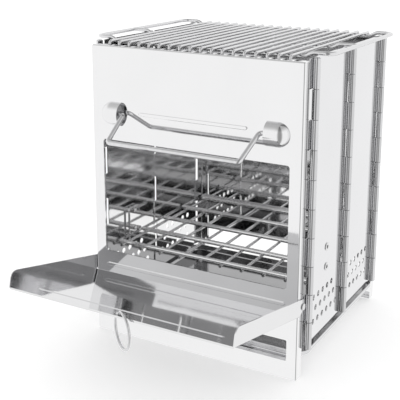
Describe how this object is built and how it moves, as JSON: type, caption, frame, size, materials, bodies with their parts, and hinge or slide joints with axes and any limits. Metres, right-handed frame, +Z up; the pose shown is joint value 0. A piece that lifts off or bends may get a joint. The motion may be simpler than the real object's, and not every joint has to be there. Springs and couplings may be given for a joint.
{
  "type": "camping wood stove",
  "caption": "Folding sheet-steel camp stove with a drop-down door, pull ring, bail handle, ash tray, hung fire grate and a wire cooking grill on top.",
  "frame": {"origin": "on the ground, at the middle of the flat underside of the front plate's foot", "axes": "+Z up, +X to the right across the front, +Y from the front plate to the back plate"},
  "size_m": [0.264, 0.3659, 0.3149],
  "materials": {
    "plate_steel": "polished",
    "panel_steel": "polished",
    "pin_steel": "satin",
    "rivet_steel": "satin",
    "tray_steel": "polished",
    "door_steel": "polished",
    "cup_steel": "polished",
    "ring_steel": "polished",
    "bail_steel": "polished",
    "grill_steel": "polished",
    "grate_steel": "satin"
  },
  "bodies": {
    "body": {"front_plate": "plate_steel", "front_ledge": "plate_steel", "front_barrels": "plate_steel", "back_plate": "plate_steel", "back_ledge": "plate_steel", "grate_lugs": "plate_steel", "back_barrels": "plate_steel", "right_front_panel": "panel_steel", "right_rear_panel": "panel_steel", "left_front_panel": "panel_steel", "left_rear_panel": "panel_steel", "right_front_pin": "pin_steel", "right_middle_pin": "pin_steel", "right_rear_pin": "pin_steel", "left_front_pin": "pin_steel", "left_middle_pin": "pin_steel", "left_rear_pin": "pin_steel", "right_pegs": "rivet_steel", "left_pegs": "rivet_steel", "ash_tray": "tray_steel", "right_rivet": "rivet_steel", "left_rivet": "rivet_steel", "right_cup": "cup_steel", "left_cup": "cup_steel"},
    "door": {"door": "door_steel"},
    "pull_ring": {"pull_ring": "ring_steel"},
    "bail_handle": {"bail_handle": "bail_steel"},
    "cooking_grill": {"grill_frame": "grill_steel", "grill_cross_wire": "grill_steel", "grill_wires": "grill_steel"},
    "fire_grate": {"grate_bars": "grate_steel", "grate_wires": "grate_steel", "grate_hooks": "grate_steel"}
  },
  "joints": [
    {"name": "door_hinge", "type": "hinge", "parent": "body", "child": "door", "pos_m": [0, 0.0015, 0.075], "axis": [-1, 0, 0], "range_deg": [0, 75.6]},
    {"name": "ring_swing", "type": "hinge", "parent": "door", "child": "pull_ring", "pos_m": [0.0069, -0.13654, 0.09634], "axis": [0.829, -0.5461, 0.1201], "range_deg": [-11, 7]},
    {"name": "bail_swing", "type": "hinge", "parent": "body", "child": "bail_handle", "pos_m": [0, -0.011, 0.2413], "axis": [-1, 0, 0], "range_deg": [-58, 122]},
    {"name": "grill_lift", "type": "slide", "parent": "body", "child": "cooking_grill", "axis": [0, 0, 1], "range_m": [0, 0.1]},
    {"name": "grate_lift", "type": "slide", "parent": "body", "child": "fire_grate", "axis": [0, 0, 1], "range_m": [0, 0.15]}
  ]
}
